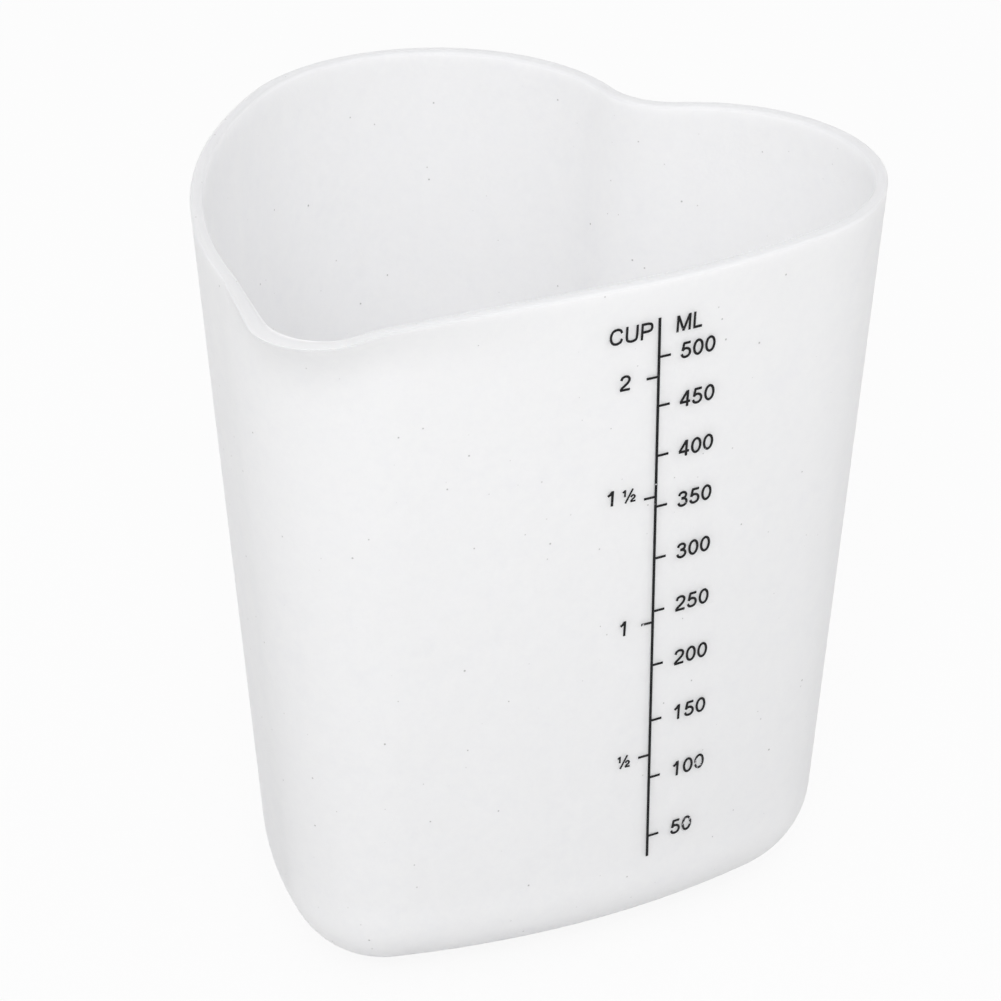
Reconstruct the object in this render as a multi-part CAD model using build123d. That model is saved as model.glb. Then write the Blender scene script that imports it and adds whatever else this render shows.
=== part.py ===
from build123d import *
from dataclasses import dataclass
from math import acos, asin, atan2, cos, degrees, hypot, pi, radians, sin, sqrt, tan
import os

# A one-piece silicone mixing cup with a heart-shaped plan, a pouring lip at the tip and a printed scale.
# Lengths are millimetres and angles are degrees. +Z is up, the tip points to -Y and the cleft to +Y.
# The outline is drawn about the centre of the tip's arc, then the part is moved to centre it on the origin.

# Whole cup
HEIGHT = 115.0
WALL = 1.9
FLOOR = 7.0
DRAFT_ANGLE = 4.56
BASE_FILLET = 14.5
FLOOR_FILLET = 10.0

# Heart outline at the rim
TIP_RADIUS = 23.0
RIGHT_LOBE_X = 24.5
RIGHT_LOBE_Y = 47.8
RIGHT_LOBE_RADIUS = 27.2
RIGHT_SIDE_RADIUS = 133.0
LEFT_LOBE_X = -18.3
LEFT_LOBE_Y = 42.3
LEFT_LOBE_RADIUS = 30.4
LEFT_SIDE_RADIUS = 87.0
CLEFT_RADIUS = 10.4

# Pouring lip, drawn out of the tip at the rim. Its arc is centred outside the tip's arc by its reach.
LIP_RADIUS = 9.5
LIP_REACH = 2.18
LIP_THICKENING = 1.2
LIP_DEPTH = 10.0
# Each flank of the lip has a hollow bend. The right one turns by an angle, and the left one starts at the
# tip's arc, this far past the place where a straight flank would touch that arc.
LIP_RIGHT_HOLLOW_RADIUS = 12.9
LIP_RIGHT_TURN = 23.24
LIP_LEFT_HOLLOW_RADIUS = 12.0
LIP_LEFT_TUCK = 6.53
# Places on the tip's arc, from left to right, that the corners of the lip are drawn down to
TIP_SPLIT_SHARES = (0.12, 0.32, 0.80)
# A fillet of the bottom edge takes up at most this much of the tip's bend there
FILLET_LIMIT_SHARE = 0.97

# Printed scale on the right side. Its line leans from the wall's steepest line towards the tip, and runs
# from a little below the lowest mark to near the rim.
LINE_SHARE = 0.592
LINE_LEAN = 2.46
LINE_TAIL = 3.7
LINE_TOP_GAP = 6.1
LINE_WIDTH = 0.42
MARK_LENGTH = 1.9
MARK_WIDTH = 0.36
INK_THICKNESS = 0.08
INK_REACH = 4.0
# Fill heights behind the marks are found this closely
LEVEL_ERROR = 0.001

# Lettering: heights, thickness of the pen, gaps between letters and from the line, and depth below a mark
NUMBER_HEIGHT = 2.6
CUP_NUMBER_HEIGHT = 2.5
FRACTION_HEIGHT = 2.2
FRACTION_DIGIT_HEIGHT = 1.15
FRACTION_PEN_WIDTH = 0.26
HEADING_HEIGHT = 2.64
PEN_WIDTH = 0.38
LETTER_GAP = 0.42
NUMBER_GAP = 3.75
CUP_NUMBER_GAP = 4.45
FRACTION_GAP = 3.3
WHOLE_TO_FRACTION_GAP = 1.4
CUP_HEADING_GAP = 1.1
MILLILITRE_HEADING_GAP = 2.7
HEADING_DROP = 3.0
NUMBER_DROP = 1.15
ONE_AND_HALF_RISE = 1.2

# What the marks stand for. A millilitre is a cube of one centimetre.
CENTIMETRE = 10.0
MILLILITRE = CENTIMETRE**3
MILLILITRE_STEP = 50 * MILLILITRE
MILLILITRE_MARKS = 10
CUP_VOLUME = 240 * MILLILITRE


@dataclass(frozen=True)
class Point:
    """A place in the plan."""

    x: float
    y: float

    def toward(self, angle, distance):
        """The point that lies this far away along a heading."""
        return Point(self.x + distance * cos(radians(angle)), self.y + distance * sin(radians(angle)))

    def at(self, height):
        """The same place at a height above the base."""
        return Vector(self.x, self.y, height)


@dataclass(frozen=True)
class Bend:
    """An arc of the outline. Moving the outline in shrinks a full bend and widens a hollow one."""

    centre: Point
    radius: float
    start: float
    end: float
    hollow: bool = False

    def moved_in(self, inset):
        """The radius of this bend when the outline moves in."""
        return self.radius + inset if self.hollow else self.radius - inset

    def edge(self, inset, height):
        """This bend as an edge at a height above the base."""
        return CenterArc(self.centre.at(height), self.moved_in(inset), self.start, self.end - self.start)

    def part(self, first_share, last_share):
        """The stretch of this bend between two shares of it."""
        sweep = self.end - self.start
        first = self.start + first_share * sweep
        return Bend(self.centre, self.radius, first, self.start + last_share * sweep)


def heading(start, end):
    """Angle of the way from one point to another."""
    return degrees(atan2(end.y - start.y, end.x - start.x))


def after(angle, limit):
    """The same angle, raised by whole turns until it's past a limit."""
    while angle < limit:
        angle += 360
    return angle


def third_corner(first, second, first_side, second_side, turn):
    """Corner of a triangle on two points, from its other sides, left (1) or right (-1) of the base."""
    base = hypot(second.x - first.x, second.y - first.y)
    along = (first_side**2 - second_side**2 + base**2) / (2 * base)
    rise = sqrt(first_side**2 - along**2)
    way = heading(first, second)
    return first.toward(way, along).toward(way + turn * 90, rise)


TIP = Point(0, 0)
RIGHT_LOBE = Point(RIGHT_LOBE_X, RIGHT_LOBE_Y)
LEFT_LOBE = Point(LEFT_LOBE_X, LEFT_LOBE_Y)
LINE_TOP = HEIGHT - LINE_TOP_GAP
HEADING_BASE = LINE_TOP - HEADING_DROP


def side_centre(lobe, lobe_radius, side_radius, turn):
    """Centre of the long side that blends the tip's arc into a lobe."""
    return third_corner(TIP, lobe, side_radius - TIP_RADIUS, side_radius - lobe_radius, turn)


def heart_bends():
    """The heart outline as bends, counterclockwise from the tip's right end, with the tip last."""
    right_centre = side_centre(RIGHT_LOBE, RIGHT_LOBE_RADIUS, RIGHT_SIDE_RADIUS, 1)
    left_centre = side_centre(LEFT_LOBE, LEFT_LOBE_RADIUS, LEFT_SIDE_RADIUS, -1)
    left_reach = LEFT_LOBE_RADIUS + CLEFT_RADIUS
    cleft = third_corner(LEFT_LOBE, RIGHT_LOBE, left_reach, RIGHT_LOBE_RADIUS + CLEFT_RADIUS, 1)
    right_start = heading(right_centre, TIP)
    right_end = after(heading(right_centre, RIGHT_LOBE), right_start)
    right_crest = after(heading(RIGHT_LOBE, cleft), right_end)
    left_crest = heading(LEFT_LOBE, cleft)
    left_start = after(heading(left_centre, LEFT_LOBE), left_crest)
    left_end = after(heading(left_centre, TIP), left_start)
    tip_end = after(right_start, left_end)
    right_side = Bend(right_centre, RIGHT_SIDE_RADIUS, right_start, right_end)
    right_lobe = Bend(RIGHT_LOBE, RIGHT_LOBE_RADIUS, right_end, right_crest)
    hollow = Bend(cleft, CLEFT_RADIUS, right_crest + 180, left_crest + 180, hollow=True)
    left_lobe = Bend(LEFT_LOBE, LEFT_LOBE_RADIUS, left_crest, left_start)
    left_side = Bend(left_centre, LEFT_SIDE_RADIUS, left_start, left_end)
    tip = Bend(TIP, TIP_RADIUS, left_end, tip_end)
    return right_side, right_lobe, hollow, left_lobe, left_side, tip


def draft_at(height):
    """How far the drafted wall has moved in from the rim at a height."""
    return (HEIGHT - height) * tan(radians(DRAFT_ANGLE))


def lip_centre():
    """Centre of the lip's arc, placed round the tip from the end of the left side."""
    left_side = heart_bends()[4]
    touch = degrees(acos((TIP_RADIUS - LIP_RADIUS) / (TIP_RADIUS + LIP_REACH)))
    return TIP.toward(left_side.end + touch - LIP_LEFT_TUCK, TIP_RADIUS + LIP_REACH)


def lip_start_share():
    """Where the lip's right flank leaves the right side, as a share of that side from the tip on."""
    side = heart_bends()[0]
    centre = lip_centre()
    reach = hypot(centre.x - side.centre.x, centre.y - side.centre.y)
    hollow_rise = (LIP_RIGHT_HOLLOW_RADIUS + LIP_RADIUS) * cos(radians(LIP_RIGHT_TURN))
    rise = side.radius + LIP_RIGHT_HOLLOW_RADIUS - hollow_rise
    start = heading(side.centre, centre) + degrees(acos(rise / reach))
    return (start - side.start) / (side.end - side.start)


def wall_edges(inset, height):
    """Outline of the drafted wall at a height, cut where the lip's corners are drawn from."""
    right_side, right_lobe, hollow, left_lobe, left_side, tip = heart_bends()
    splits = (0, *TIP_SPLIT_SHARES, 1)
    flank_share = lip_start_share()
    pieces = [right_side.part(0, flank_share), right_side.part(flank_share, 1), right_lobe, hollow]
    pieces += [left_lobe, left_side]
    pieces += [tip.part(first, last) for first, last in zip(splits, splits[1:])]
    return [piece.edge(inset + draft_at(height), height) for piece in pieces]


def lip_edges(inset, setback):
    """Outline of the rim with the lip drawn out of the tip, moved in by a wall and set back in front."""
    right_side, right_lobe, hollow, left_lobe, left_side, _ = heart_bends()
    flank_share = lip_start_share()
    centre = lip_centre().toward(90, setback)
    radius = LIP_RADIUS - inset
    # Right flank: a straight edge off the side, then a hollow bend into the lip
    start = right_side.part(0, flank_share).end
    corner = right_side.centre.toward(start, right_side.moved_in(inset))
    right_radius = LIP_RIGHT_HOLLOW_RADIUS + inset
    reach = hypot(centre.x - corner.x, centre.y - corner.y)
    bearing = radians(heading(corner, centre) - start)
    beside = reach * cos(bearing)
    along = -reach * sin(bearing) - sqrt((right_radius + radius) ** 2 - (right_radius - beside) ** 2)
    bend_start = corner.toward(start - 90, along)
    right_hollow = bend_start.toward(start, right_radius)
    right_meet = heading(right_hollow, centre)
    # Left flank: a hollow bend off the side, then a straight edge into the lip
    left_radius = LIP_LEFT_HOLLOW_RADIUS + inset
    left_hollow = left_side.centre.toward(left_side.end, left_side.moved_in(inset) + left_radius)
    gap = hypot(left_hollow.x - centre.x, left_hollow.y - centre.y)
    left_meet = heading(centre, left_hollow) + 90 - degrees(asin((radius + left_radius) / gap))
    lip_left = centre.toward(left_meet, radius)
    flank_end = left_hollow.toward(left_meet + 180, left_radius)
    left_meet = after(left_meet, left_side.end - 180)
    lip = Bend(centre, radius, left_meet, after(right_meet + 180, left_meet))
    right_bend = Bend(right_hollow, right_radius, after(right_meet, start + 180), start + 180, hollow=True)
    left_bend = Bend(left_hollow, left_radius, left_side.end - 180, left_meet - 180, hollow=True)
    return [
        Line(bend_start.at(HEIGHT), corner.at(HEIGHT)),
        right_side.part(flank_share, 1).edge(inset, HEIGHT),
        right_lobe.edge(inset, HEIGHT),
        hollow.edge(inset, HEIGHT),
        left_lobe.edge(inset, HEIGHT),
        left_side.edge(inset, HEIGHT),
        left_bend.edge(0, HEIGHT),
        Line(flank_end.at(HEIGHT), lip_left.at(HEIGHT)),
        lip.edge(0, HEIGHT),
        right_bend.edge(0, HEIGHT),
    ]


def bottom_radius(wanted, inset, bottom):
    """Radius of a form's rounded bottom edge: the one wanted, or what the tip's bend has room for."""
    room = FILLET_LIMIT_SHARE * (TIP_RADIUS - inset - draft_at(bottom))
    return min(wanted, room * tan(radians(45 + DRAFT_ANGLE / 2)))


def cup_form(inset, bottom, setback, bottom_fillet):
    """Solid within the outline moved in by a wall, from a bottom height to the rim, rounded below."""
    sections = [
        Face(Wire(wall_edges(inset, bottom))),
        Face(Wire(wall_edges(inset, HEIGHT - LIP_DEPTH))),
        Face(Wire(lip_edges(inset, setback))),
    ]
    form = loft(sections, ruled=True, clean=False)
    return fillet(form.edges().group_by(Axis.Z)[0], bottom_radius(bottom_fillet, inset, bottom))


def rim_measures(inset):
    """Area and length of the plain heart outline at the rim, moved in by a wall."""
    outline = Wire([bend.edge(inset, HEIGHT) for bend in heart_bends()])
    return Face(outline).area, outline.length


def contents(height):
    """Volume of liquid in the cup up to a height. Each step in takes length x step off an outline's area."""
    area, length = rim_measures(WALL)

    def below(inset):
        return (area * inset - length * inset**2 / 2 + pi * inset**3 / 3) / tan(radians(DRAFT_ANGLE))

    floor_length = length - 2 * pi * draft_at(FLOOR)
    corner = (1 - pi / 4) * bottom_radius(FLOOR_FILLET, WALL, FLOOR) ** 2 * floor_length
    return below(draft_at(FLOOR)) - below(draft_at(height)) - corner


def fill_height(volume):
    """Height that a volume of liquid fills the cup to, found by halving."""
    low, high = FLOOR + FLOOR_FILLET, HEIGHT
    while high - low > LEVEL_ERROR:
        middle = (low + high) / 2
        low, high = (middle, high) if contents(middle) < volume else (low, middle)
    return (low + high) / 2


# Letters as pen strokes, in shares of the height that the pen's middle covers.
# Two points are a straight stroke and three are an arc through the middle one.
LETTER_SHARES = {
    "0": [[(0, 0.32), (0, 0.68)], [(0, 0.68), (0.29, 1), (0.58, 0.68)], [(0.58, 0.68), (0.58, 0.32)],
          [(0.58, 0.32), (0.29, 0), (0, 0.32)]],
    "1": [[(0.06, 0.74), (0.34, 1)], [(0.34, 1), (0.34, 0)]],
    "2": [[(0.01, 0.71), (0.29, 1), (0.57, 0.71)], [(0.57, 0.71), (0.50, 0.48), (0.30, 0.31)],
          [(0.30, 0.31), (0, 0)], [(0, 0), (0.59, 0)]],
    "3": [[(0.02, 0.76), (0.28, 1), (0.53, 0.75)], [(0.53, 0.75), (0.45, 0.58), (0.22, 0.53)],
          [(0.22, 0.53), (0.50, 0.46), (0.58, 0.27)], [(0.58, 0.27), (0.28, 0), (0, 0.25)]],
    "4": [[(0.43, 1), (0, 0.29)], [(0, 0.29), (0.60, 0.29)], [(0.43, 1), (0.43, 0)]],
    "5": [[(0.53, 1), (0.11, 1)], [(0.11, 1), (0.03, 0.48)], [(0.03, 0.48), (0.33, 0.63), (0.58, 0.33)],
          [(0.58, 0.33), (0.28, 0), (0, 0.24)]],
    "C": [[(0.75, 0.72), (0.42, 1), (0.06, 0.76)], [(0.06, 0.76), (0, 0.5), (0.06, 0.24)],
          [(0.06, 0.24), (0.42, 0), (0.77, 0.31)]],
    "U": [[(0, 1), (0, 0.34)], [(0, 0.34), (0.34, 0), (0.68, 0.34)], [(0.68, 0.34), (0.68, 1)]],
    "P": [[(0, 0), (0, 1)], [(0, 1), (0.38, 1)], [(0.38, 1), (0.65, 0.73), (0.38, 0.46)],
          [(0.38, 0.46), (0, 0.46)]],
    "M": [[(0, 0), (0, 1)], [(0, 1), (0.40, 0.02)], [(0.40, 0.02), (0.80, 1)], [(0.80, 1), (0.80, 0)]],
    "L": [[(0, 1), (0, 0)], [(0, 0), (0.52, 0)]],
}
# Slash of a fraction, from foot to head, and left edge of its lower digit, in shares of its height
SLASH_SHARES = [(0.28, 0.04), (0.80, 0.96)]
LOWER_DIGIT_SHARE = 0.64


def stroke_face(points, pen):
    """A pen stroke through points of the print, with round ends."""
    path = Line(*points) if len(points) == 2 else ThreePointArc(*points)
    ends = [Pos(*point) * Circle(pen / 2) for point in (points[0], points[-1])]
    return trace(path, pen) + ends


def letter_width(letter, height, pen):
    """Width of a letter, with its pen."""
    span = max(x for stroke in LETTER_SHARES[letter] for x, _ in stroke)
    return span * (height - pen) + pen


def letter_face(letter, left, base, height, pen):
    """A letter whose left edge and base line are given, in the plane of the print."""
    size = height - pen
    face = Sketch()
    for stroke in LETTER_SHARES[letter]:
        points = [(left + pen / 2 + x * size, base + pen / 2 + y * size) for x, y in stroke]
        face += stroke_face(points, pen)
    return face


def word_faces(word, left, base, height, pen=PEN_WIDTH):
    """The letters of a word, one after another from its left edge."""
    faces = []
    for letter in word:
        faces.append(letter_face(letter, left, base, height, pen))
        left += letter_width(letter, height, pen) + LETTER_GAP
    return faces


def word_width(word, height):
    """Width of a word, from edge to edge."""
    return sum(letter_width(letter, height, PEN_WIDTH) for letter in word) + LETTER_GAP * (len(word) - 1)


def half_faces(left, base):
    """The fraction one half: a raised 1, a slash and a 2 at the foot."""
    slash = [(left + x * FRACTION_HEIGHT, base + y * FRACTION_HEIGHT) for x, y in SLASH_SHARES]
    upper = base + FRACTION_HEIGHT - FRACTION_DIGIT_HEIGHT
    lower_left = left + LOWER_DIGIT_SHARE * FRACTION_HEIGHT
    return [
        letter_face("1", left, upper, FRACTION_DIGIT_HEIGHT, FRACTION_PEN_WIDTH),
        stroke_face(slash, FRACTION_PEN_WIDTH),
        letter_face("2", lower_left, base, FRACTION_DIGIT_HEIGHT, FRACTION_PEN_WIDTH),
    ]


def half_width():
    """Width of the fraction one half."""
    lower_width = letter_width("2", FRACTION_DIGIT_HEIGHT, FRACTION_PEN_WIDTH)
    return LOWER_DIGIT_SHARE * FRACTION_HEIGHT + lower_width


def line_bottom():
    """Height of the bottom end of the scale's line."""
    return fill_height(MILLILITRE_STEP) - LINE_TAIL


def print_middle():
    """Height of the middle of the scale's line."""
    return (line_bottom() + LINE_TOP) / 2


def print_plane():
    """Plane that lies on the right wall at the middle of the scale's line. X is level and Y up the wall."""
    side = heart_bends()[0]
    middle = print_middle()
    facing = side.part(0, LINE_SHARE).end
    foot = side.centre.toward(facing, side.radius - draft_at(middle))
    outward = Vector(1, 0, -tan(radians(DRAFT_ANGLE))).rotate(Axis.Z, facing)
    level = Vector(0, 1, 0).rotate(Axis.Z, facing)
    return Plane(foot.at(middle), level, outward)


def up_wall(height):
    """Place up the print's plane that stands for a height above the base."""
    return (height - print_middle()) / cos(radians(DRAFT_ANGLE))


def line_at(rise):
    """Middle of the leaning line at a place up the print's plane."""
    return -rise * tan(radians(LINE_LEAN))


def line_face():
    """The scale's line."""
    points = []
    for height, side in ((line_bottom(), -1), (line_bottom(), 1), (LINE_TOP, 1), (LINE_TOP, -1)):
        points.append((line_at(up_wall(height)) + side * LINE_WIDTH / 2, up_wall(height)))
    return make_face(Polyline(*points, close=True))


def mark_face(volume, side):
    """A mark on the line for a volume, to its right (1) or left (-1)."""
    rise = up_wall(fill_height(volume))
    points = []
    for lift, reach in ((-1, LINE_WIDTH / 2), (-1, MARK_LENGTH), (1, MARK_LENGTH), (1, LINE_WIDTH / 2)):
        edge = rise + lift * MARK_WIDTH / 2
        points.append((line_at(edge) + side * reach, edge))
    return make_face(Polyline(*points, close=True))


def millilitre_number(volume):
    """The number beside a millilitre mark."""
    rise = up_wall(fill_height(volume))
    word = str(round(volume / MILLILITRE))
    return word_faces(word, line_at(rise) + NUMBER_GAP, rise - NUMBER_DROP, NUMBER_HEIGHT)


def cup_number(halves):
    """The number beside a cup mark, as whole cups and a half. One and a half is printed higher."""
    rise = up_wall(fill_height(CUP_VOLUME * halves / 2))
    word = str(halves // 2)
    if halves % 2 == 0:
        left = line_at(rise) - CUP_NUMBER_GAP - word_width(word, CUP_NUMBER_HEIGHT)
        return word_faces(word, left, rise - NUMBER_DROP, CUP_NUMBER_HEIGHT)
    left = line_at(rise) - FRACTION_GAP - half_width()
    if halves == 1:
        return half_faces(left, rise - NUMBER_DROP)
    base = rise - NUMBER_DROP + ONE_AND_HALF_RISE
    whole_left = left - WHOLE_TO_FRACTION_GAP - word_width(word, CUP_NUMBER_HEIGHT)
    return half_faces(left, base) + word_faces(word, whole_left, base, CUP_NUMBER_HEIGHT)


def heading_faces():
    """The two unit headings, either side of the top of the line."""
    rise = up_wall(HEADING_BASE)
    left = line_at(rise) - CUP_HEADING_GAP - word_width("CUP", HEADING_HEIGHT)
    cup = word_faces("CUP", left, rise, HEADING_HEIGHT)
    return cup, word_faces("ML", line_at(rise) + MILLILITRE_HEADING_GAP, rise, HEADING_HEIGHT)


def has_mark(volume):
    """Whether a volume has a mark: its number stays below the headings."""
    return fill_height(volume) + NUMBER_HEIGHT < HEADING_BASE


def scale_faces():
    """The whole print as flat faces, by the name of each piece."""
    names = {1: "number_half_cup", 2: "number_one_cup", 3: "number_one_and_half_cups", 4: "number_two_cups"}
    names = {halves: name for halves, name in names.items() if has_mark(CUP_VOLUME * halves / 2)}
    volumes = [MILLILITRE_STEP * count for count in range(1, MILLILITRE_MARKS + 1)]
    volumes = [volume for volume in volumes if has_mark(volume)]
    cup_heading, millilitre_heading = heading_faces()
    faces = {
        "scale_line": [line_face()],
        "millilitre_marks": [mark_face(volume, 1) for volume in volumes],
        "cup_marks": [mark_face(CUP_VOLUME * halves / 2, -1) for halves in names],
        "cup_heading": cup_heading,
        "millilitre_heading": millilitre_heading,
    }
    for volume in volumes:
        faces[f"number_{round(volume / MILLILITRE)}_ml"] = millilitre_number(volume)
    for halves, name in names.items():
        faces[name] = cup_number(halves)
    return faces


def inked(face, plane, cup, raised):
    """Ink of a flat face of the print: a thin even layer on the wall."""
    column = extrude(plane * face, INK_REACH, both=True)
    return (column & raised) - cup


def main():
    """Build the cup and its print and write each piece."""
    os.makedirs("parts", exist_ok=True)
    outside = cup_form(0, 0, 0, BASE_FILLET)
    inside = cup_form(WALL, FLOOR, LIP_THICKENING, FLOOR_FILLET)
    raised = cup_form(-INK_THICKNESS, 0, 0, BASE_FILLET)
    pieces = {"cup_body": outside - inside}
    plane = print_plane()
    for name, faces in scale_faces().items():
        solids = [solid for face in faces for solid in inked(face, plane, outside, raised).solids()]
        pieces[name] = Compound(solids)
    centre = outside.bounding_box().center()
    for name, piece in pieces.items():
        export_step(Pos(-centre.X, -centre.Y, 0) * piece, f"parts/{name}.step")


main()
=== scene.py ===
"""Looks of a one-piece silicone mixing cup: heart-shaped plan, pouring lip and a printed scale.

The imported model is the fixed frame. The cup is modelled again as one smooth closed mesh in the same space,
and the numbers and headings of the scale are drawn on its wall with an even pen. Sizes are millimetres, and
they turn to metres where a mesh is made. +Z is up, the lip points to -Y and the cleft to +Y.
"""

import logging
import math
from collections.abc import Sequence
from dataclasses import dataclass, field
from enum import Enum
from functools import cached_property
from typing import ClassVar

import bmesh
import bpy
from mathutils import Matrix, Vector

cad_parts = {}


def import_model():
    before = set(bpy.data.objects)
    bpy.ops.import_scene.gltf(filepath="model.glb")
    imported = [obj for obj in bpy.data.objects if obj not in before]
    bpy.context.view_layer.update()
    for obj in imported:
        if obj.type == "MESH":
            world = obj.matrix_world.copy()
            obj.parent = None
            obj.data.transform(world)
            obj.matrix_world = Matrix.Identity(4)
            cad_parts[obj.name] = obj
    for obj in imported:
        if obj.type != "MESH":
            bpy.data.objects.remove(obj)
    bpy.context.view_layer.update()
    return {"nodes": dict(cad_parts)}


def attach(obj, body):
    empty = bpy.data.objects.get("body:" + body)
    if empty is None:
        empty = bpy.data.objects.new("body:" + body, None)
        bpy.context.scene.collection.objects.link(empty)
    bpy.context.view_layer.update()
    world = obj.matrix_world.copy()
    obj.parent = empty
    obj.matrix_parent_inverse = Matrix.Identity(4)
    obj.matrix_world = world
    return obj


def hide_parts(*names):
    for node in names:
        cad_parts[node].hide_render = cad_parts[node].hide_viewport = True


LOG = logging.getLogger("mixing_cup")
MM = 0.001
# Numbers of a mix node's colour sockets, whose names other sockets of the node have too
MIX_LOW, MIX_HIGH, MIX_RESULT = 6, 7, 2
Pair = tuple[float, float]
Triple = tuple[float, float, float]


def linear(code: str) -> tuple[float, float, float, float]:
    """Turn an sRGB hex colour to linear light.

    Args:
        code: Six hex digits.

    Returns:
        Red, green, blue and a full alpha.
    """
    shares = [int(code[i : i + 2], 16) / 255 for i in (0, 2, 4)]
    # The curve of sRGB: a straight foot, and a power above it
    lit = [s / 12.92 if s <= 0.04045 else ((s + 0.055) / 1.055) ** 2.4 for s in shares]
    return (*lit, 1.0)


def toward(place: Pair, angle: float, distance: float) -> Pair:
    """Go from a place along a heading.

    Args:
        place: Start, in the plan.
        angle: Heading in degrees, counterclockwise from +X.
        distance: How far to go.

    Returns:
        The place that is reached.
    """
    turn = math.radians(angle)
    return place[0] + distance * math.cos(turn), place[1] + distance * math.sin(turn)


def heading(start: Pair, end: Pair) -> float:
    """Give the heading from one place to another, in degrees."""
    return math.degrees(math.atan2(end[1] - start[1], end[0] - start[0]))


def after(angle: float, limit: float) -> float:
    """Raise an angle by whole turns until it isn't below a limit.

    Args:
        angle: The angle, in degrees.
        limit: The limit, in degrees.

    Returns:
        The raised angle.
    """
    while angle < limit:
        angle += 360
    return angle


def third_corner(first: Pair, second: Pair, first_side: float, second_side: float, turn: int) -> Pair:
    """Find a triangle's third corner.

    Args:
        first: One end of the base.
        second: The other end of the base.
        first_side: Length of the side at the first end.
        second_side: Length of the side at the second end.
        turn: 1 for a corner to the left of the base, -1 for one to the right.

    Returns:
        The corner, in the plan.
    """
    base = math.dist(first, second)
    along = (first_side**2 - second_side**2 + base**2) / (2 * base)
    rise = math.sqrt(first_side**2 - along**2)
    way = heading(first, second)
    return toward(toward(first, way, along), way + turn * 90, rise)


@dataclass(frozen=True)
class Bend:
    """An arc of the plan. Moving it in shrinks a full bend and widens a hollow one."""

    centre: Pair
    radius: float
    start: float
    end: float
    hollow: bool = False

    def moved_in(self, inset: float) -> float:
        """Give the radius when the outline moves in."""
        return self.radius + inset if self.hollow else self.radius - inset

    def at(self, share: float, inset: float = 0.0) -> Pair:
        """Give the place at a share of this arc, moved in by an inset."""
        return toward(self.centre, self.start + share * (self.end - self.start), self.moved_in(inset))

    def part(self, first: float, last: float) -> "Bend":
        """Give the stretch between two shares of this arc."""
        sweep = self.end - self.start
        return Bend(self.centre, self.radius, self.start + first * sweep, self.start + last * sweep)


@dataclass(frozen=True)
class Straight:
    """A straight run of the plan."""

    start: Pair
    end: Pair

    def at(self, share: float) -> Pair:
        """Give the place at a share of this run, which is drawn for its inset already."""
        return tuple(a + share * (b - a) for a, b in zip(self.start, self.end))


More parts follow.
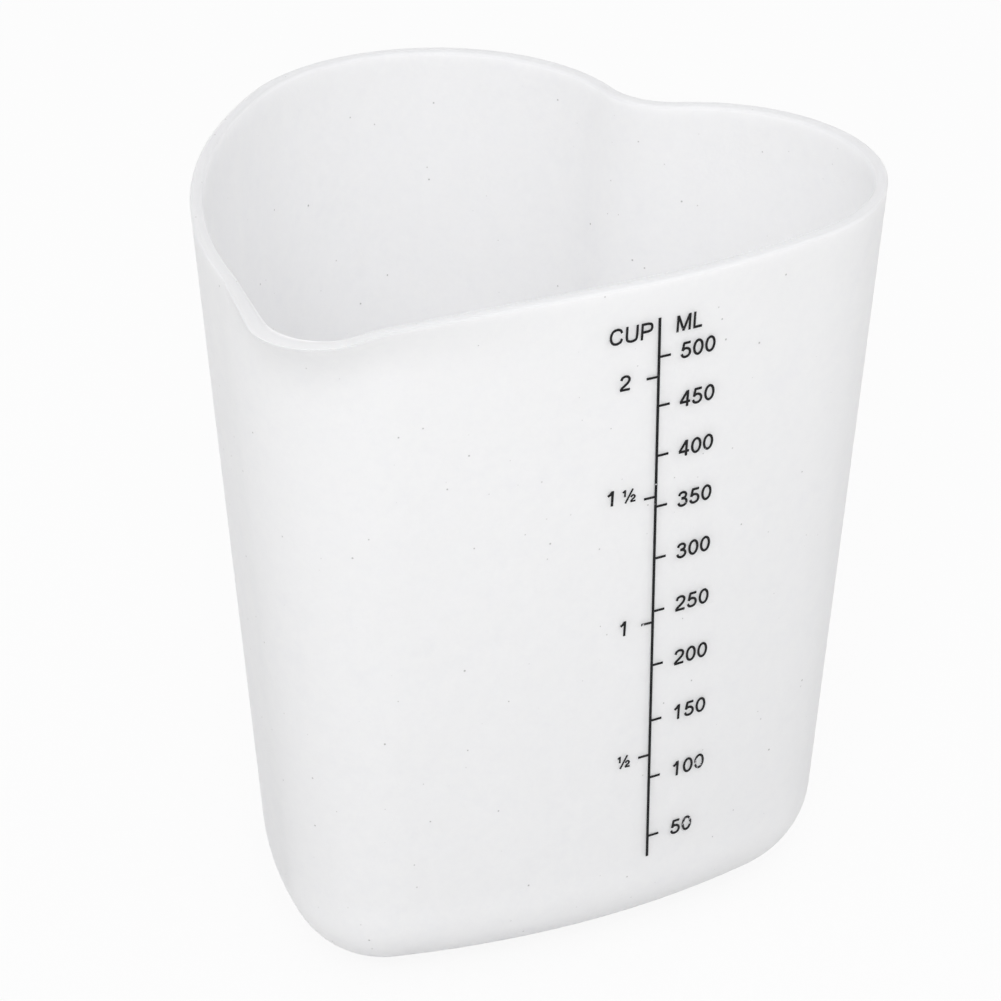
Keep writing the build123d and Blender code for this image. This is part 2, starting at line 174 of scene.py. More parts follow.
@dataclass(frozen=True)
class HeartPlan:
    """Plan of the rim: two lobes, a cleft, two long sides and a round tip with a pouring lip."""

    tip_radius: float = 23.0
    right_lobe: Pair = (24.5, 47.8)
    right_lobe_radius: float = 27.2
    right_side_radius: float = 133.0
    left_lobe: Pair = (-18.3, 42.3)
    left_lobe_radius: float = 30.4
    left_side_radius: float = 87.0
    cleft_radius: float = 10.4
    lip_radius: float = 9.5
    lip_reach: float = 2.18
    lip_right_hollow: float = 12.9
    lip_right_turn: float = 23.24
    lip_left_hollow: float = 12.0
    lip_left_tuck: float = 6.53
    tip_splits: tuple[float, ...] = (0.12, 0.32, 0.80)
    # Runs of the outline that belong to the lip
    LIP_RUNS: ClassVar[tuple[int, ...]] = (0, 6, 7, 8, 9)

    def bends(self) -> tuple[Bend, ...]:
        """Lay out the heart.

        Returns:
            Right side, right lobe, cleft, left lobe, left side and tip, counterclockwise.
        """
        tip = (0.0, 0.0)
        right_reach = self.right_side_radius - self.right_lobe_radius
        left_reach = self.left_side_radius - self.left_lobe_radius
        right = third_corner(tip, self.right_lobe, self.right_side_radius - self.tip_radius, right_reach, 1)
        left = third_corner(tip, self.left_lobe, self.left_side_radius - self.tip_radius, left_reach, -1)
        lobe_reaches = (self.left_lobe_radius + self.cleft_radius, self.right_lobe_radius + self.cleft_radius)
        cleft = third_corner(self.left_lobe, self.right_lobe, *lobe_reaches, 1)
        right_start = heading(right, tip)
        right_end = after(heading(right, self.right_lobe), right_start)
        right_crest = after(heading(self.right_lobe, cleft), right_end)
        left_crest = heading(self.left_lobe, cleft)
        left_start = after(heading(left, self.left_lobe), left_crest)
        left_end = after(heading(left, tip), left_start)
        return (
            Bend(right, self.right_side_radius, right_start, right_end),
            Bend(self.right_lobe, self.right_lobe_radius, right_end, right_crest),
            Bend(cleft, self.cleft_radius, right_crest + 180, left_crest + 180, hollow=True),
            Bend(self.left_lobe, self.left_lobe_radius, left_crest, left_start),
            Bend(left, self.left_side_radius, left_start, left_end),
            Bend(tip, self.tip_radius, left_end, after(right_start, left_end)),
        )

    def lip_centre(self) -> Pair:
        """Place the lip's arc round the tip, from the end of the left side.

        Returns:
            The centre of the arc.
        """
        *_, left_side, tip = self.bends()
        reach = self.tip_radius + self.lip_reach
        touch = math.degrees(math.acos((self.tip_radius - self.lip_radius) / reach))
        return toward(tip.centre, left_side.end + touch - self.lip_left_tuck, reach)

    def flank_share(self) -> float:
        """Find where the lip's right flank leaves the right side.

        Returns:
            The share of the right side that lies before that place.
        """
        side = self.bends()[0]
        centre = self.lip_centre()
        turned = (self.lip_right_hollow + self.lip_radius) * math.cos(math.radians(self.lip_right_turn))
        rise = side.radius + self.lip_right_hollow - turned
        start = heading(side.centre, centre) + math.degrees(math.acos(rise / math.dist(side.centre, centre)))
        return (start - side.start) / (side.end - side.start)

    def wall_runs(self) -> list[Bend]:
        """Cut the heart's outline where the lip's corners are drawn from.

        Returns:
            The runs, each one the partner of a run of the lip's outline.
        """
        side, right_lobe, cleft, left_lobe, left_side, tip = self.bends()
        share = self.flank_share()
        splits = (0.0, *self.tip_splits, 1.0)
        tips = [tip.part(first, last) for first, last in zip(splits, splits[1:])]
        return [side.part(0, share), side.part(share, 1), right_lobe, cleft, left_lobe, left_side, *tips]

    def lip_runs(self, inset: float, setback: float) -> list[Bend | Straight]:
        """Lay out the rim with its lip.

        Args:
            inset: How far the outline is moved in.
            setback: How far the lip's front is set back on top of that.

        Returns:
            The runs in the order of the wall's runs. Those of the lip are drawn for this inset already.
        """
        side, right_lobe, cleft, left_lobe, left_side, _ = self.bends()
        share = self.flank_share()
        centre = toward(self.lip_centre(), 90, setback)
        radius = self.lip_radius - inset
        # The right flank goes on straight from the side, then bends through a hollow to the lip's arc
        start = side.part(0, share).end
        corner = toward(side.centre, start, side.moved_in(inset))
        right_radius = self.lip_right_hollow + inset
        reach = math.dist(centre, corner)
        bearing = math.radians(heading(corner, centre) - start)
        spread = math.sqrt((right_radius + radius) ** 2 - (right_radius - reach * math.cos(bearing)) ** 2)
        bend_start = toward(corner, start - 90, -reach * math.sin(bearing) - spread)
        right_hollow = toward(bend_start, start, right_radius)
        right_meet = heading(right_hollow, centre)
        # The left flank is straight between the lip's arc and a hollow that ends on the left side
        left_radius = self.lip_left_hollow + inset
        left_hollow = toward(left_side.centre, left_side.end, left_side.moved_in(inset) + left_radius)
        gap = math.dist(left_hollow, centre)
        left_meet = heading(centre, left_hollow) + 90 - math.degrees(math.asin((radius + left_radius) / gap))
        flank = Straight(toward(left_hollow, left_meet + 180, left_radius), toward(centre, left_meet, radius))
        left_meet = after(left_meet, left_side.end - 180)
        return [
            Straight(bend_start, corner),
            side.part(share, 1),
            right_lobe,
            cleft,
            left_lobe,
            left_side,
            Bend(left_hollow, left_radius, left_side.end - 180, left_meet - 180, hollow=True),
            flank,
            Bend(centre, radius, left_meet, after(right_meet + 180, left_meet)),
            Bend(right_hollow, right_radius, after(right_meet, start + 180), start + 180, hollow=True),
        ]


def mesh_object(name: str, mesh: bpy.types.Mesh, material: bpy.types.Material) -> bpy.types.Object:
    """Put a mesh in the scene with one material.

    Args:
        name: The piece's name.
        mesh: Its mesh, in metres.
        material: Its finish.

    Returns:
        The new object.
    """
    mesh.materials.append(material)
    piece = bpy.data.objects.new(name, mesh)
    bpy.context.scene.collection.objects.link(piece)
    return piece


def finished_mesh(name: str, shape: bmesh.types.BMesh) -> bpy.types.Mesh:
    """Turn the faces of a closed shape outwards and make it a mesh.

    Args:
        name: The mesh's name.
        shape: The shape, in metres. It is freed.

    Returns:
        The new mesh.
    """
    bmesh.ops.recalc_face_normals(shape, faces=shape.faces)
    mesh = bpy.data.meshes.new(name)
    shape.to_mesh(mesh)
    shape.free()
    return mesh


def add_node(
    tree: bpy.types.NodeTree,
    kind: str,
    settings: dict[str | int, object] | None = None,
    links: dict[str | int, bpy.types.NodeSocket] | None = None,
) -> bpy.types.Node:
    """Add a node to a material with its settings and links.

    Args:
        tree: The material's node tree.
        kind: The node's type name.
        settings: Values by the input's name or number, or by attribute name where no input has that name.
        links: Sockets that feed inputs, by the input's name or number.

    Returns:
        The new node.
    """
    node = tree.nodes.new(kind)
    for name, value in (settings or {}).items():
        if isinstance(name, str) and name not in node.inputs:
            setattr(node, name, value)
        else:
            node.inputs[name].default_value = value
    for name, socket in (links or {}).items():
        tree.links.new(socket, node.inputs[name])
    return node


def tint_between(
    tree: bpy.types.NodeTree,
    share: bpy.types.NodeSocket,
    low: str | bpy.types.NodeSocket,
    high: str,
) -> bpy.types.NodeSocket:
    """Mix two colours by a share.

    Args:
        tree: The material's node tree.
        share: 0 for the low colour and 1 for the high one.
        low: The low colour, as hex or from another node.
        high: The high colour, as hex.

    Returns:
        The mixed colour.
    """
    mix = add_node(tree, "ShaderNodeMix", {"data_type": "RGBA", MIX_HIGH: linear(high)}, {"Factor": share})
    if isinstance(low, str):
        mix.inputs[MIX_LOW].default_value = linear(low)
    else:
        tree.links.new(low, mix.inputs[MIX_LOW])
    return mix.outputs[MIX_RESULT]


@dataclass(frozen=True)
class MouldedSilicone:
    """Translucent milky silicone rubber, poured and cured in a sandblasted mould.

    The blasted mould leaves a matt skin with a fine even grain. Light goes into the wall and comes out
    softened, so that thin edges glow and thick corners are a little greyer. The skin holds specks of dust.
    """

    name: str = "silicone_cast_in_blasted_mould"
    milk: str = "FCFCFC"
    cloud: str = "F4F4F7"
    cloud_size: float = 14.0
    cloud_limits: Pair = (0.35, 0.68)
    roughness: float = 0.5
    ior: float = 1.41
    light_reach: float = 4.5
    # Painted shade: a greyer tint on the rim's flat top, which stands in for shade that the overhead light
    # doesn't give it
    rim_shade: str = "D6D6D7"
    # Heights between which the painted shade on the rim's top comes in
    rim_heights: Pair = (114.35, 114.9)
    # Coarser and deeper than a blasted grain is, so that it shows from the camera's distance
    grain_size: float = 0.5
    grain_depth: float = 0.05
    grain_strength: float = 0.6
    dust: str = "85837F"
    dust_spacing: float = 2.2
    dust_size: float = 0.22
    dust_share: float = 0.8
    dust_softness: float = 0.12
    dust_strength: float = 0.6

    def material(self) -> bpy.types.Material:
        """Make the material.

        Returns:
            A material with patterns in the cup's own millimetres.
        """
        material = bpy.data.materials.new(self.name)
        material.use_nodes = True
        tree = material.node_tree
        tree.nodes.clear()
        place = add_node(tree, "ShaderNodeTexCoord").outputs["Object"]
        tint = self.milky_tint(tree, place)
        grain = add_node(
            tree, "ShaderNodeTexNoise",
            {"Scale": 1 / (self.grain_size * MM), "Detail": 2.0, "Roughness": 0.5}, {"Vector": place},
        )
        bump = add_node(
            tree, "ShaderNodeBump",
            {"Strength": self.grain_strength, "Distance": self.grain_depth * MM},
            {"Height": grain.outputs["Fac"]},
        )
        skin = add_node(
            tree, "ShaderNodeBsdfPrincipled",
            {
                "Roughness": self.roughness,
                "IOR": self.ior,
                "Subsurface Weight": 1.0,
                "Subsurface Radius": (1.0, 1.0, 1.0),
                "Subsurface Scale": self.light_reach * MM,
            },
            {
                "Base Color": tint_between(tree, self.specks(tree, place), tint, self.dust),
                "Normal": bump.outputs["Normal"],
            },
        )
        add_node(tree, "ShaderNodeOutputMaterial", None, {"Surface": skin.outputs["BSDF"]})
        return material

    def milky_tint(self, tree: bpy.types.NodeTree, place: bpy.types.NodeSocket) -> bpy.types.NodeSocket:
        """Cloud the milky colour and paint shade on the rim's top.

        Args:
            tree: The material's node tree.
            place: The place on the object.

        Returns:
            The colour without its dust.
        """
        cloud = add_node(
            tree, "ShaderNodeTexNoise",
            {"Scale": 1 / (self.cloud_size * MM), "Detail": 5.0, "Roughness": 0.7}, {"Vector": place},
        )
        thin, thick = self.cloud_limits
        spread = add_node(
            tree, "ShaderNodeMapRange", {"From Min": thin, "From Max": thick}, {"Value": cloud.outputs["Fac"]}
        )
        tint = tint_between(tree, spread.outputs["Result"], self.milk, self.cloud)
        # Painted shade: the rim's flat top is tinted a shade greyer, so that the light from overhead doesn't
        # show it brighter than the wall
        axes = add_node(tree, "ShaderNodeSeparateXYZ", None, {0: place})
        low, high = self.rim_heights
        rim = add_node(
            tree, "ShaderNodeMapRange",
            {"From Min": low * MM, "From Max": high * MM}, {"Value": axes.outputs["Z"]},
        )
        return tint_between(tree, rim.outputs["Result"], tint, self.rim_shade)

    def specks(self, tree: bpy.types.NodeTree, place: bpy.types.NodeSocket) -> bpy.types.NodeSocket:
        """Scatter dust specks of all sizes up to the largest, on some of the cells of a cell pattern.

        Args:
            tree: The material's node tree.
            place: The place on the object.

        Returns:
            How strongly a speck covers the place.
        """
        cells = add_node(
            tree, "ShaderNodeTexVoronoi", {"Scale": 1 / (self.dust_spacing * MM)}, {"Vector": place}
        )
        chance = add_node(tree, "ShaderNodeSeparateColor", None, {"Color": cells.outputs["Color"]})
        size = add_node(
            tree, "ShaderNodeMapRange",
            {"From Min": 1 - self.dust_share, "To Max": self.dust_size / self.dust_spacing},
            {"Value": chance.outputs["Red"]},
        )
        depth = add_node(
            tree, "ShaderNodeMath", {"operation": "SUBTRACT"},
            {0: size.outputs["Result"], 1: cells.outputs["Distance"]},
        )
        cover = add_node(
            tree, "ShaderNodeMapRange",
            {"From Max": self.dust_softness / self.dust_spacing, "To Max": self.dust_strength},
            {"Value": depth.outputs["Value"]},
        )
        return cover.outputs["Result"]


@dataclass(frozen=True)
class RubbedPlace:
    """A place where handling has thinned the print, and how much of the ink is lost at its middle."""

    across: float
    height: float
    radius: float
    loss: float


@dataclass(frozen=True)
class PadPrintedInk:
    """Black silicone ink, pad printed and cured on the wall.

    It lies dead flat and almost without gloss, a soft black and not a deep one. Handling rubs it thin in
    places, and the milky wall shows through there.
    """

    name: str = "silicone_ink_pad_printed"
    black: str = "060607"
    thin: str = "1C1C1F"
    wall_through: str = "D4D4D6"
    roughness: float = 0.6
    ior: float = 1.45
    gloss: float = 0.25
    mottle_size: float = 0.9
    wear_size: float = 0.35
    # Wear at which the ink starts to go, and at which it is gone
    wear_limits: Pair = (0.7, 0.8)
    # Share of a rubbed place's radius within which the whole loss counts
    rub_core: float = 0.5
    # Middle of each rubbed place in metres, with the place
    rubs: tuple[tuple[Vector, RubbedPlace], ...] = ()

    def material(self) -> bpy.types.Material:
        """Make the material.

        Returns:
            A material with its wear at the places that are rubbed.
        """
        material = bpy.data.materials.new(self.name)
        material.use_nodes = True
        tree = material.node_tree
        tree.nodes.clear()
        place = add_node(tree, "ShaderNodeTexCoord").outputs["Object"]
        mottle = add_node(
            tree, "ShaderNodeTexNoise", {"Scale": 1 / (self.mottle_size * MM)}, {"Vector": place}
        )
        thinned = tint_between(tree, mottle.outputs["Fac"], self.black, self.thin)
        ink = add_node(
            tree, "ShaderNodeBsdfPrincipled",
            {"Roughness": self.roughness, "IOR": self.ior, "Specular IOR Level": self.gloss},
            {"Base Color": tint_between(tree, self.wear(tree, place), thinned, self.wall_through)},
        )
        add_node(tree, "ShaderNodeOutputMaterial", None, {"Surface": ink.outputs["BSDF"]})
        return material

    def wear(self, tree: bpy.types.NodeTree, place: bpy.types.NodeSocket) -> bpy.types.NodeSocket:
        """Rub the ink away round its worn places.

        Args:
            tree: The material's node tree.
            place: The place on the object.

        Returns:
            1 where the ink is gone.
        """
        flakes = add_node(
            tree, "ShaderNodeTexNoise", {"Scale": 1 / (self.wear_size * MM), "Detail": 3.0}, {"Vector": place}
        )
        total = flakes.outputs["Fac"]
        for middle, rub in self.rubs:
            away = add_node(tree, "ShaderNodeVectorMath", {"operation": "DISTANCE", 1: middle}, {0: place})
            edge = rub.radius * MM
            near = add_node(
                tree, "ShaderNodeMapRange",
                {"From Min": edge, "From Max": edge * self.rub_core, "To Max": rub.loss},
                {"Value": away.outputs["Value"]},
            )
            both = {0: total, 1: near.outputs["Result"]}
            total = add_node(tree, "ShaderNodeMath", {"operation": "ADD"}, both).outputs[0]
        going, gone = self.wear_limits
        bare = add_node(tree, "ShaderNodeMapRange", {"From Min": going, "From Max": gone}, {"Value": total})
        return bare.outputs["Result"]


@dataclass
class CupBody:
    """The moulding: floor, drafted wall, lip and rim, as one closed mesh."""

    finish: MouldedSilicone = field(default_factory=MouldedSilicone)
    plan: HeartPlan = field(default_factory=HeartPlan)
    height: float = 115.0
    wall: float = 1.9
    floor: float = 7.0
    draft: float = 4.56
    base_fillet: float = 14.5
    floor_fillet: float = 10.0
    lip_depth: float = 10.0
    lip_thickening: float = 1.2
    # How late the lip leaves the wall: 1 is a straight flare, and more curls it out near the rim
    lip_ease: float = 2.3
    rim_round: float = 0.55
    heart_middle: Pair = (3.0, 26.0)
    segment: float = 1.4
    fewest_segments: int = 6
    measuring_steps: int = 8
    fillet_steps: int = 16
    wall_steps: int = 20
    lip_steps: int = 10
    round_steps: int = 5
    # Rings on the rim's flat top, as shares of the wall
    flat_shares: tuple[float, ...] = (0.3, 0.5, 0.7)
    # Rings on the base and on the floor, as shares of the way out from the heart's middle
    level_shares: tuple[float, ...] = (0.8, 0.55, 0.3)

    def slope(self) -> float:
        """Give how far the wall moves in for each millimetre down."""
        return math.tan(math.radians(self.draft))

    @cached_property
    def counts(self) -> list[int]:
        """Count the segments of each run of the outline.

        Returns:
            The counts, in the order of the runs.
        """
        counts = []
        for run in self.plan.lip_runs(0, 0):
            places = [run.at(i / self.measuring_steps) for i in range(self.measuring_steps + 1)]
            length = sum(math.dist(a, b) for a, b in zip(places, places[1:]))
            counts.append(max(self.fewest_segments, round(length / self.segment)))
        return counts

    @cached_property
    def shift(self) -> Vector:
        """Find the middle of the rim's extent, which stands over the frame's origin.

        Returns:
            The middle, where the plan is drawn.
        """
        rim = self.ring(0.0, self.height)
        xs = [point.x for point in rim]
        ys = [point.y for point in rim]
        return Vector(((min(xs) + max(xs)) / 2, (min(ys) + max(ys)) / 2, 0.0))

    def ring(self, inset: float, height: float) -> list[Vector]:
        """Lay one ring of the wall.

        Args:
            inset: How far into the wall the ring lies from the outer face.
            height: Its height above the base.

        Returns:
            The ring's points, counterclockwise.
        """
        rise = max(0.0, (height - self.height + self.lip_depth) / self.lip_depth)
        flare = rise**self.lip_ease
        moved = inset + (self.height - height) * self.slope()
        setback = self.lip_thickening * min(1.0, inset / self.wall)
        points = []
        pairs = zip(self.plan.wall_runs(), self.plan.lip_runs(inset, setback), self.counts)
        for i, (wall_run, lip_run, count) in enumerate(pairs):
            drawn_out = flare if i in self.plan.LIP_RUNS else 0.0
            for share in (step / count for step in range(count)):
                below, rim, lip = wall_run.at(share, moved), wall_run.at(share, inset), lip_run.at(share)
                x, y = (b + drawn_out * (a - r) for a, r, b in zip(lip, rim, below))
                points.append(Vector((x, y, height)))
        return points

    def profile(self, fillet: float, bottom: float, inset: float) -> list[Pair]:
        """Draw a section of one face of the wall, from the end of its bottom bend to below the rim's round.

        Args:
            fillet: Radius of the bottom bend.
            bottom: Height of the face that the bend ends on.
            inset: How far in the wall this face lies.

        Returns:
            Insets from the drafted outer face and heights, from the bottom up.
        """
        draft = math.radians(self.draft)
        middle = inset + (self.height - bottom - fillet) * self.slope() + fillet / math.cos(draft)
        pairs = []
        for i in range(self.fillet_steps + 1):
            turn = (math.pi / 2 - draft) * i / self.fillet_steps
            height = bottom + fillet * (1 - math.cos(turn))
            reach = middle - fillet * math.sin(turn)
            pairs.append((reach - (self.height - height) * self.slope(), height))
        start = pairs[-1][1]
        lip_base = self.height - self.lip_depth
        rise = self.lip_depth - self.rim_round
        for i in range(1, self.wall_steps + 1):
            pairs.append((inset, start + (lip_base - start) * i / self.wall_steps))
        for i in range(1, self.lip_steps + 1):
            pairs.append((inset, lip_base + rise * i / self.lip_steps))
        return pairs

    def sections(self) -> list[Pair]:
        """Draw the whole section, from the base's edge up the outer face and over the rim to the floor.

        Returns:
            Insets from the drafted outer face and heights.
        """
        outer = self.profile(self.base_fillet, 0.0, 0.0)
        inner = self.profile(self.floor_fillet, self.floor, self.wall)
        r = self.rim_round
        for i in range(1, self.round_steps + 1):
            turn = math.pi / 2 * i / self.round_steps
            height = self.height - r + r * math.sin(turn)
            outer.append((r - r * math.cos(turn), height))
            inner.append((self.wall - r + r * math.cos(turn), height))
        flat = [(self.wall * share, self.height) for share in self.flat_shares]
        return outer + flat + inner[::-1]

    def inner_rings(self, ring: Sequence[Vector]) -> list[list[Vector]]:
        """Lay smaller rings inside one, on the base or the floor.

        Args:
            ring: The ring at the edge of that face.

        Returns:
            The rings inside it, the largest first.
        """
        level = Vector((*self.heart_middle, ring[0].z))
        return [[level + share * (point - level) for point in ring] for share in self.level_shares]

    def skin(self) -> bmesh.types.BMesh:
        """Join the rings to one closed skin, from the middle of the base to the middle of the floor.

        Returns:
            The skin, in metres and in the frame's place.
        """
        rings = [self.ring(inset, height) for inset, height in self.sections()]
        rings = self.inner_rings(rings[0])[::-1] + rings + self.inner_rings(rings[-1])
        shape = bmesh.new()
        levels = [[shape.verts.new(point) for point in ring] for ring in rings]
        for low, high in zip(levels, levels[1:]):
            for i, j in self.pairs_round(len(low)):
                shape.faces.new((low[i], low[j], high[j], high[i]))
        for ring, flip in ((levels[0], True), (levels[-1], False)):
            centre = shape.verts.new((*self.heart_middle, ring[0].co.z))
            for i, j in self.pairs_round(len(ring)):
                corners = (ring[j], ring[i], centre) if flip else (ring[i], ring[j], centre)
                shape.faces.new(corners)
        for vert in shape.verts:
            vert.co = (vert.co - self.shift) * MM
        return shape

    def build(self) -> bpy.types.Object:
        """Build the moulding and put it in the scene.

        Returns:
            The finished piece.
        """
        name = "silicone_cup"
        piece = mesh_object(name, finished_mesh(name, self.skin()), self.finish.material())
        piece.data.shade_smooth()
        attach(piece, "root")
        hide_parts("cup_body")
        LOG.info("%s: moulded", name)
        return piece

    @staticmethod
    def pairs_round(count: int) -> list[tuple[int, int]]:
        """Give each place of a ring with the next one."""
        return [(i, (i + 1) % count) for i in range(count)]


@dataclass(frozen=True)
class PenStroke:
    """The left and right edge of the pen at each step of a stroke. A loop closes on its start."""

    edges: list[tuple[Pair, Pair]]
    loop: bool


@dataclass(frozen=True)
class Letter:
    """A plain upright letter or digit, drawn by an even pen. Its height is 1."""

    advance: float
    lines: tuple[tuple[Pair, ...], ...]
    pen: float = 0.146
    LINE_STEPS: ClassVar[int] = 2
    CURVE_STEPS: ClassVar[int] = 10

    def strokes(self, left: float) -> list[PenStroke]:
        """Draw the letter, starting at a place on its line of text."""
        return [self.stroke(line, left) for line in self.lines]

    def stroke(self, line: Sequence[Pair], left: float) -> PenStroke:
        """Follow a line with the pen: straight between two points, and smooth through more of them.

        Args:
            line: Points that the middle of the pen goes through. A loop ends where it starts.
            left: Where the letter starts on its line of text.

        Returns:
            The stroke.
        """
        loop = line[0] == line[-1]
        points = [Vector((x + left, y)) for x, y in line]
        if loop:
            points = [points[-2], *points, points[1]]
        else:
            points = [2 * points[0] - points[1], *points, 2 * points[-1] - points[-2]]
        steps = self.CURVE_STEPS if len(line) > 2 else self.LINE_STEPS
        middles, ways = [], []
        # Each span from b to c is a cubic. Its way at either end is that between the points on both sides
        for a, b, c, d in zip(points, points[1:], points[2:], points[3:]):
            bend = 2 * a - 5 * b + 4 * c - d
            twist = 3 * b - a - 3 * c + d
            for t in (i / steps for i in range(steps)):
                middles.append(0.5 * (2 * b + (c - a) * t + bend * t**2 + twist * t**3))
                ways.append((c - a) + 2 * bend * t + 3 * twist * t**2)
        if not loop:
            middles.append(points[-2])
            ways.append(points[-1] - points[-3])
        edges = []
        for middle, way in zip(middles, ways):
            side = Vector((-way.y, way.x)).normalized() * self.pen / 2
            edges.append((tuple(middle + side), tuple(middle - side)))
        return PenStroke(edges, loop)


# Heights of the pen's middle at the foot and at the crown of a letter
FOOT, CROWN = 0.066, 0.934
LETTERS: dict[str, Letter] = {
    " ": Letter(0.23, ()),
    "0": Letter(0.78, (
        ((0.39, CROWN), (0.575, 0.81), (0.652, 0.5), (0.575, 0.19), (0.39, FOOT),
         (0.205, 0.19), (0.128, 0.5), (0.205, 0.81), (0.39, CROWN)),
    )),
    "1": Letter(0.74, (
        ((0.40, 0.0), (0.40, 1.0)),
        ((0.12, 0.70), (0.26, 0.79), (0.37, 0.95)),
    )),
    "2": Letter(0.78, (
        ((0.135, 0.70), (0.20, 0.87), (0.385, CROWN), (0.57, 0.87), (0.635, 0.70),
         (0.555, 0.51), (0.36, 0.33), (0.20, 0.20), (0.12, FOOT)),
        ((0.09, FOOT), (0.69, FOOT)),
    )),
    "3": Letter(0.78, (
        ((0.14, 0.73), (0.21, 0.88), (0.375, CROWN), (0.535, 0.87), (0.59, 0.73), (0.52, 0.59), (0.31, 0.54)),
        ((0.31, 0.54), (0.55, 0.48), (0.645, 0.29), (0.56, 0.12), (0.375, FOOT), (0.20, 0.13), (0.125, 0.28)),
    )),
    "4": Letter(0.78, (
        ((0.50, 0.96), (0.10, 0.32)),
        ((0.06, 0.29), (0.71, 0.29)),
        ((0.53, 0.0), (0.53, 1.0)),
    )),
    "5": Letter(0.78, (
        ((0.20, CROWN), (0.64, CROWN)),
        ((0.245, 0.95), (0.165, 0.48)),
        ((0.165, 0.48), (0.24, 0.57), (0.39, 0.60), (0.57, 0.52), (0.645, 0.33),
         (0.57, 0.14), (0.385, FOOT), (0.20, 0.12), (0.12, 0.27)),
    )),
    "C": Letter(1.0, (
        ((0.845, 0.70), (0.74, 0.87), (0.52, CROWN), (0.25, 0.83), (0.14, 0.5),
         (0.25, 0.17), (0.51, FOOT), (0.76, 0.15), (0.86, 0.34)),
    )),
    "U": Letter(1.0, (
        ((0.165, 1.0), (0.165, 0.37)),
        ((0.835, 1.0), (0.835, 0.37)),
        ((0.165, 0.39), (0.23, 0.15), (0.50, FOOT), (0.77, 0.15), (0.835, 0.39)),
    )),
    "P": Letter(0.92, (
        ((0.165, 0.0), (0.165, 1.0)),
        ((0.165, CROWN), (0.55, CROWN)),
        ((0.165, 0.46), (0.55, 0.46)),
        ((0.53, CROWN), (0.74, 0.87), (0.80, 0.70), (0.74, 0.52), (0.53, 0.46)),
    )),
    "M": Letter(1.16, (
        ((0.165, 0.0), (0.165, 1.0)),
        ((0.995, 0.0), (0.995, 1.0)),
        ((0.20, 0.97), (0.59, 0.03)),
        ((0.96, 0.97), (0.57, 0.03)),
    )),
    "L": Letter(0.78, (
        ((0.165, 0.0), (0.165, 1.0)),
        ((0.165, FOOT), (0.70, FOOT)),
    )),
    "\u00bd": Letter(0.95, (
        ((0.19, 0.43), (0.19, 0.88)),
        ((0.05, 0.74), (0.17, 0.83)),
        ((0.24, 0.0), (0.66, 0.88)),
        ((0.57, 0.34), (0.62, 0.43), (0.71, 0.455), (0.80, 0.36), (0.75, 0.25), (0.64, 0.16), (0.57, 0.052)),
        ((0.55, 0.052), (0.85, 0.052)),
    ), pen=0.1),
}


